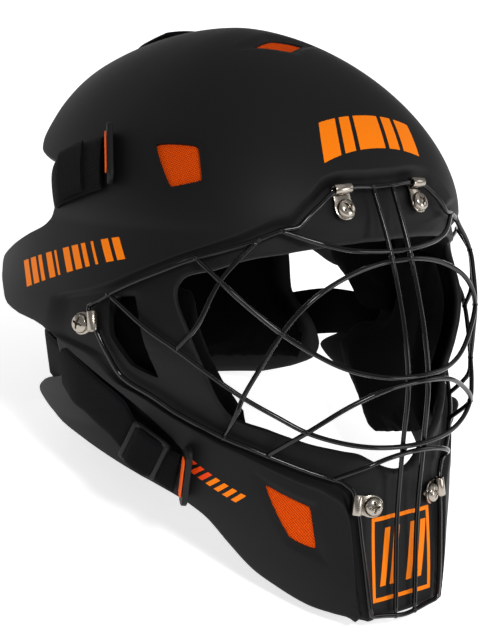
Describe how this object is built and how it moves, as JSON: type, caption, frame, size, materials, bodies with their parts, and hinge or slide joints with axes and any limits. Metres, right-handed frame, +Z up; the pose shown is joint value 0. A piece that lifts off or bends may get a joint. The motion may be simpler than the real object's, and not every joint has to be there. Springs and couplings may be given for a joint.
{
  "type": "floorball goalie mask",
  "caption": "Floorball goalie mask with a matte black moulded shell, welded wire face cage, orange vent meshes and elastic straps.",
  "frame": {"origin": "centre of the bounding box at the surface the mask stands on, leaned back on its chin and its back plate", "axes": "the wearer's face looks along -Y and 23.7 degrees upwards, +X is the wearer's left, +Z is up"},
  "size_m": [0.2368, 0.2926, 0.2203],
  "materials": {
    "shell": "soft-touch matte black",
    "wire": "gloss black paint",
    "nickel": "nickel plating",
    "mesh": "orange mesh",
    "padding": "brushed knit over foam",
    "webbing": "woven elastic",
    "plastic": "moulded black",
    "tab": "orange rubber print"
  },
  "bodies": {
    "root": {"back_pad": "padding", "back_plate": "plastic", "buckle_left": "plastic", "buckle_right": "plastic", "cage": "wire", "clip_brow_left": "nickel", "clip_brow_right": "nickel", "clip_chin_left": "nickel", "clip_chin_right": "nickel", "clip_side_left": "nickel", "clip_side_right": "nickel", "pad_brow": "padding", "pad_cheek_left": "padding", "pad_cheek_right": "padding", "pad_crown": "padding", "pad_side_left": "padding", "pad_side_right": "padding", "screw_brow_left": "nickel", "screw_brow_right": "nickel", "screw_chin_left": "nickel", "screw_chin_right": "nickel", "screw_side_left": "nickel", "screw_side_right": "nickel", "shell": "shell", "strap_lower_left": "webbing", "strap_lower_right": "webbing", "strap_top": "webbing", "strap_upper_left": "webbing", "strap_upper_right": "webbing", "tab_lower_left": "webbing", "tab_lower_right": "webbing", "tab_lower_stripe_left": "tab", "tab_lower_stripe_right": "tab", "tab_upper_left": "webbing", "tab_upper_right": "webbing", "tab_upper_stripe_left": "tab", "tab_upper_stripe_right": "tab", "vent_mesh_chin_left": "mesh", "vent_mesh_chin_right": "mesh", "vent_mesh_side_left": "mesh", "vent_mesh_side_right": "mesh", "vent_mesh_top": "mesh"}
  },
  "joints": []
}
